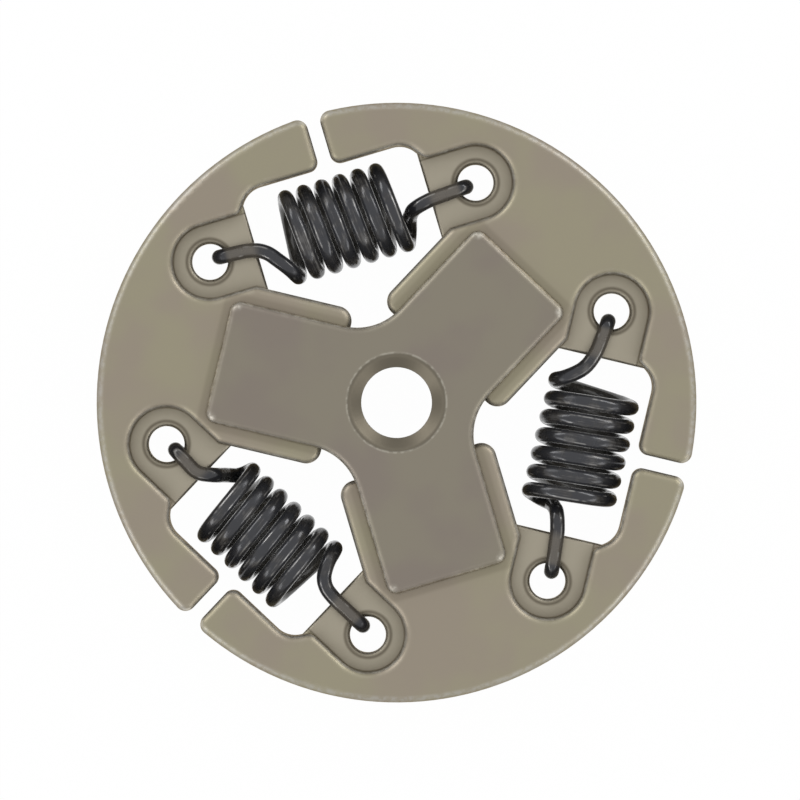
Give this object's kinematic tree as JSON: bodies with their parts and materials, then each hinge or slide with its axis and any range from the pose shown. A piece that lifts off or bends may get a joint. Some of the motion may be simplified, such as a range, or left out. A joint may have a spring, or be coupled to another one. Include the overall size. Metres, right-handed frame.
{
  "type": "centrifugal clutch",
  "caption": "Centrifugal clutch for a small two-stroke garden machine: shoes slide on a Y-shaped threaded carrier and are held in by hooked tension springs.",
  "frame": {"origin": "centre of the hub's back face, on the axis of the threaded hole", "axes": "+Z out of the front face, along the threaded hole; +X along the arm that carries shoe_1"},
  "size_m": [0.0699, 0.07, 0.0141],
  "materials": {
    "carrier_steel": "sintered, tumbled, satin",
    "shoe_steel": "sintered, tumbled, satin",
    "spring_wire": "blackened spring wire, oiled"
  },
  "bodies": {
    "hub": {"hub": "carrier_steel", "spring_1": "spring_wire", "spring_2": "spring_wire", "spring_3": "spring_wire"},
    "shoe_1": {"shoe_1": "shoe_steel"},
    "shoe_2": {"shoe_2": "shoe_steel"},
    "shoe_3": {"shoe_3": "shoe_steel"}
  },
  "joints": [
    {"name": "shoe_1_slide", "type": "slide", "parent": "hub", "child": "shoe_1", "axis": [1, 0, 0], "range_m": [0, 0.0015], "stiffness_N_per_m": 28000, "springref_m": -0.0005, "deforming": ["spring_1", "spring_3"]},
    {"name": "shoe_2_slide", "type": "slide", "parent": "hub", "child": "shoe_2", "axis": [-0.5, 0.866, 0], "range_m": [0, 0.0015], "stiffness_N_per_m": 28000, "springref_m": -0.0005, "deforming": ["spring_1", "spring_2"]},
    {"name": "shoe_3_slide", "type": "slide", "parent": "hub", "child": "shoe_3", "axis": [-0.5, -0.866, 0], "range_m": [0, 0.0015], "stiffness_N_per_m": 28000, "springref_m": -0.0005, "deforming": ["spring_2", "spring_3"]}
  ]
}
